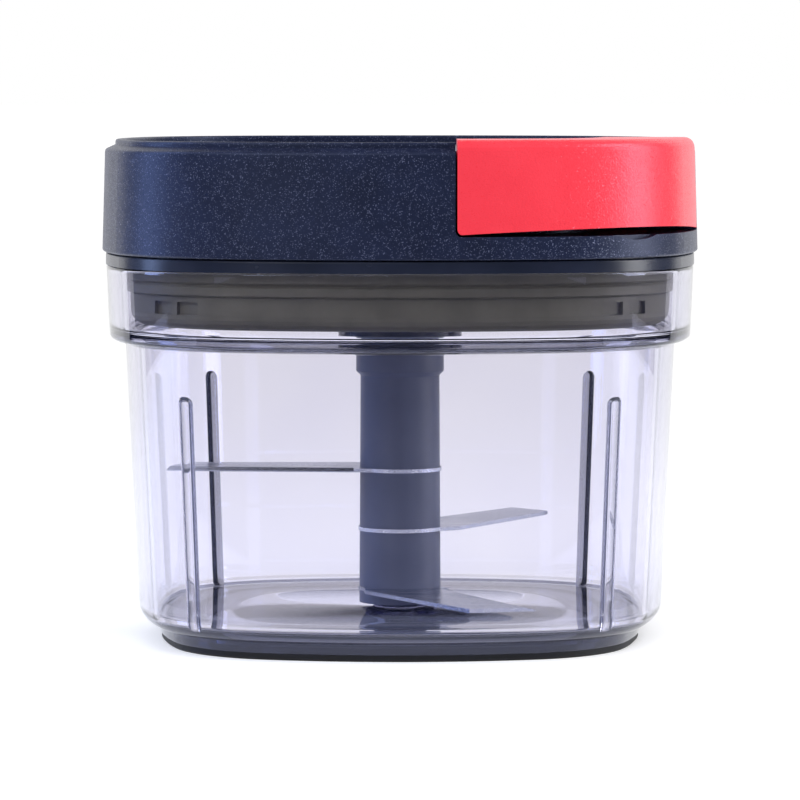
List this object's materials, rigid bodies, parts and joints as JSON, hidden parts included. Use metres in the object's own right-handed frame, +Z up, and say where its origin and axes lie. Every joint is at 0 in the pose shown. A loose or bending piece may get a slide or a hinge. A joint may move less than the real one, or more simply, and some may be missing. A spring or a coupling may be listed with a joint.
{
  "type": "pull-string food chopper",
  "caption": "Square-round clear bowl with a stacked-blade stem under a dark lid; a corner handle pulls a spring-wound cord that spins the blades.",
  "frame": {"origin": "on the resting face, under the middle of the bowl", "axes": "+Z up, +X to the right, +Y away from the front; the handle is on the front right corner"},
  "size_m": [0.1254, 0.1254, 0.1055],
  "materials": {
    "clear_plastic": "clear moulded, polished",
    "soft_black": "matte moulded rubber",
    "steel": "turned, satin",
    "blade_steel": "rolled stainless, ground edge",
    "spring_steel": "blued strip",
    "stem_plastic": "moulded, satin",
    "pale_plastic": "moulded, satin",
    "lid_plastic": "moulded, fine spark texture",
    "gloss_dark_plastic": "moulded, glossy",
    "seal_rubber": "moulded, satin",
    "handle_plastic": "moulded, satin",
    "pawl_plastic": "moulded",
    "cord": "braided cord"
  },
  "bodies": {
    "bowl": {"bowl": "clear_plastic", "anti_slip_ring": "soft_black", "pivot_pin": "steel"},
    "blade_unit": {"stem_top": "stem_plastic", "stem_spacer_upper": "stem_plastic", "stem_spacer_lower": "stem_plastic", "stem_foot": "stem_plastic", "stem_core": "stem_plastic", "pivot_bush": "pale_plastic", "blade_upper": "blade_steel", "blade_middle": "blade_steel", "blade_lower": "blade_steel"},
    "lid": {"lid_housing": "lid_plastic", "lower_cover": "gloss_dark_plastic", "seal_ring": "seal_rubber", "cover_screws": "steel", "cord_eyelet": "steel", "drive_bush": "pale_plastic", "reel_screw": "steel", "reel_washer": "steel", "power_spring": "spring_steel", "pull_cord": "cord"},
    "reel": {"reel": "pale_plastic", "spring_cover": "pale_plastic", "cord_winding": "cord"},
    "pawl_a": {"pawl_a": "pawl_plastic"},
    "pawl_b": {"pawl_b": "pawl_plastic"},
    "drive": {"drive_coupling": "stem_plastic"},
    "handle": {"pull_handle": "handle_plastic", "handle_plug": "handle_plastic", "cord_knot": "cord"}
  },
  "joints": [
    {"name": "lid_lift", "type": "slide", "parent": "bowl", "child": "lid", "axis": [0, 0, 1], "range_m": [0, 0.12]},
    {"name": "handle_pull", "type": "slide", "parent": "lid", "child": "handle", "axis": [0.7071, -0.7071, 0], "range_m": [0, 0.36], "stiffness_N_per_m": 15, "springref_m": -0.1, "deforming": ["pull_cord"]},
    {"name": "reel_spin", "type": "hinge", "parent": "lid", "child": "reel", "pos_m": [0, 0, 0.09], "axis": [0, 0, 1], "range_deg": [0, 1090], "deforming": ["power_spring"]},
    {"name": "drive_spin", "type": "hinge", "parent": "lid", "child": "drive", "pos_m": [0, 0, 0.07], "axis": [0, 0, 1], "range_deg": [0, 1090]},
    {"name": "blade_spin", "type": "hinge", "parent": "bowl", "child": "blade_unit", "pos_m": [0, 0, 0.007], "axis": [0, 0, 1], "range_deg": [0, 1090]},
    {"name": "pawl_a_pivot", "type": "hinge", "parent": "reel", "child": "pawl_a", "pos_m": [0.0115, 0, 0.084], "axis": [0, 0, 1], "range_deg": [0, 14]},
    {"name": "pawl_b_pivot", "type": "hinge", "parent": "reel", "child": "pawl_b", "pos_m": [-0.0115, 0, 0.084], "axis": [0, 0, 1], "range_deg": [0, 14]}
  ],
  "couplings": [
    {"joint": "reel_spin", "follows": "handle_pull", "rad_per_m": 52.632},
    {"joint": "drive_spin", "follows": "handle_pull", "rad_per_m": 52.632},
    {"joint": "blade_spin", "follows": "handle_pull", "rad_per_m": 52.632}
  ]
}
